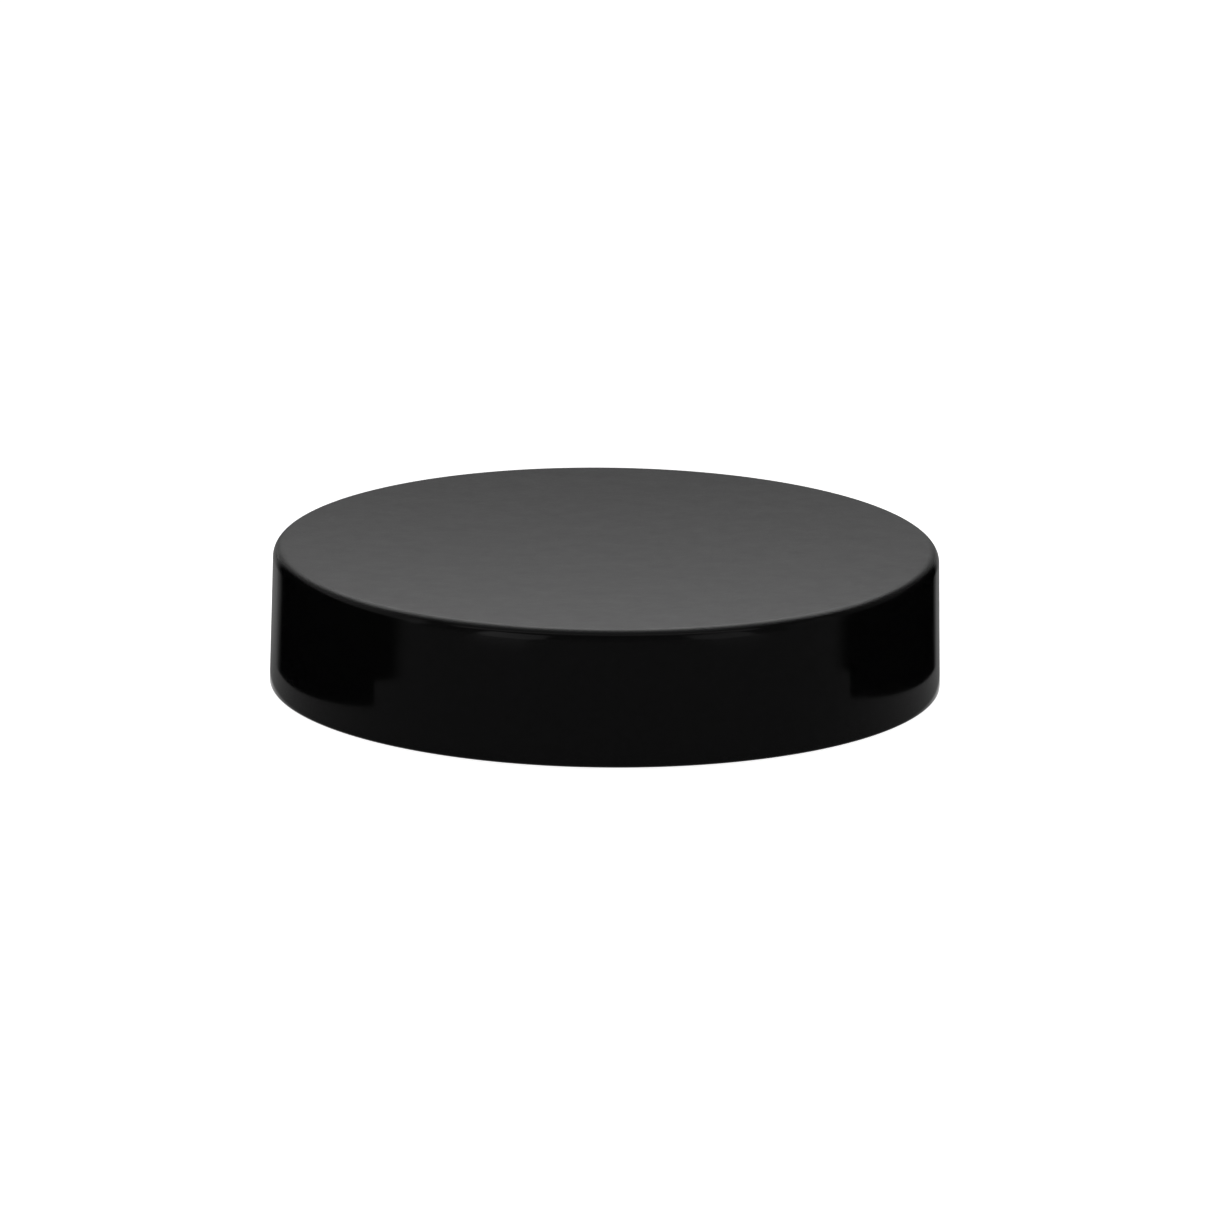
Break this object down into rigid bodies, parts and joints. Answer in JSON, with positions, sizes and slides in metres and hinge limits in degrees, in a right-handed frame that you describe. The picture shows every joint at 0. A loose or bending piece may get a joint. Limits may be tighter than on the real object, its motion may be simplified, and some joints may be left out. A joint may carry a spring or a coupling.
{
  "type": "jar screw cap",
  "caption": "Low, wide screw cap with a flat satin top, a smooth gloss skirt, an internal thread and a loose foam sealing liner.",
  "frame": {"origin": "centre of the open rim, in the plane that the cap stands on", "axes": "+Z along the axis of the screw, out through the flat top; +X lies in one of the gaps of the liner bead, 2.5 degrees short of the lower start of the thread"},
  "size_m": [0.0916, 0.0916, 0.019],
  "materials": {
    "black_polypropylene": "gloss",
    "white_foam": "satin"
  },
  "bodies": {
    "cap": {"cap_shell": "black_polypropylene"},
    "liner_disc": {"liner": "white_foam"}
  },
  "joints": [
    {"name": "liner_spin", "type": "hinge", "parent": "cap", "child": "liner_disc", "pos_m": [0, 0, 0.0167], "axis": [0, 0, 1], "continuous": true}
  ]
}
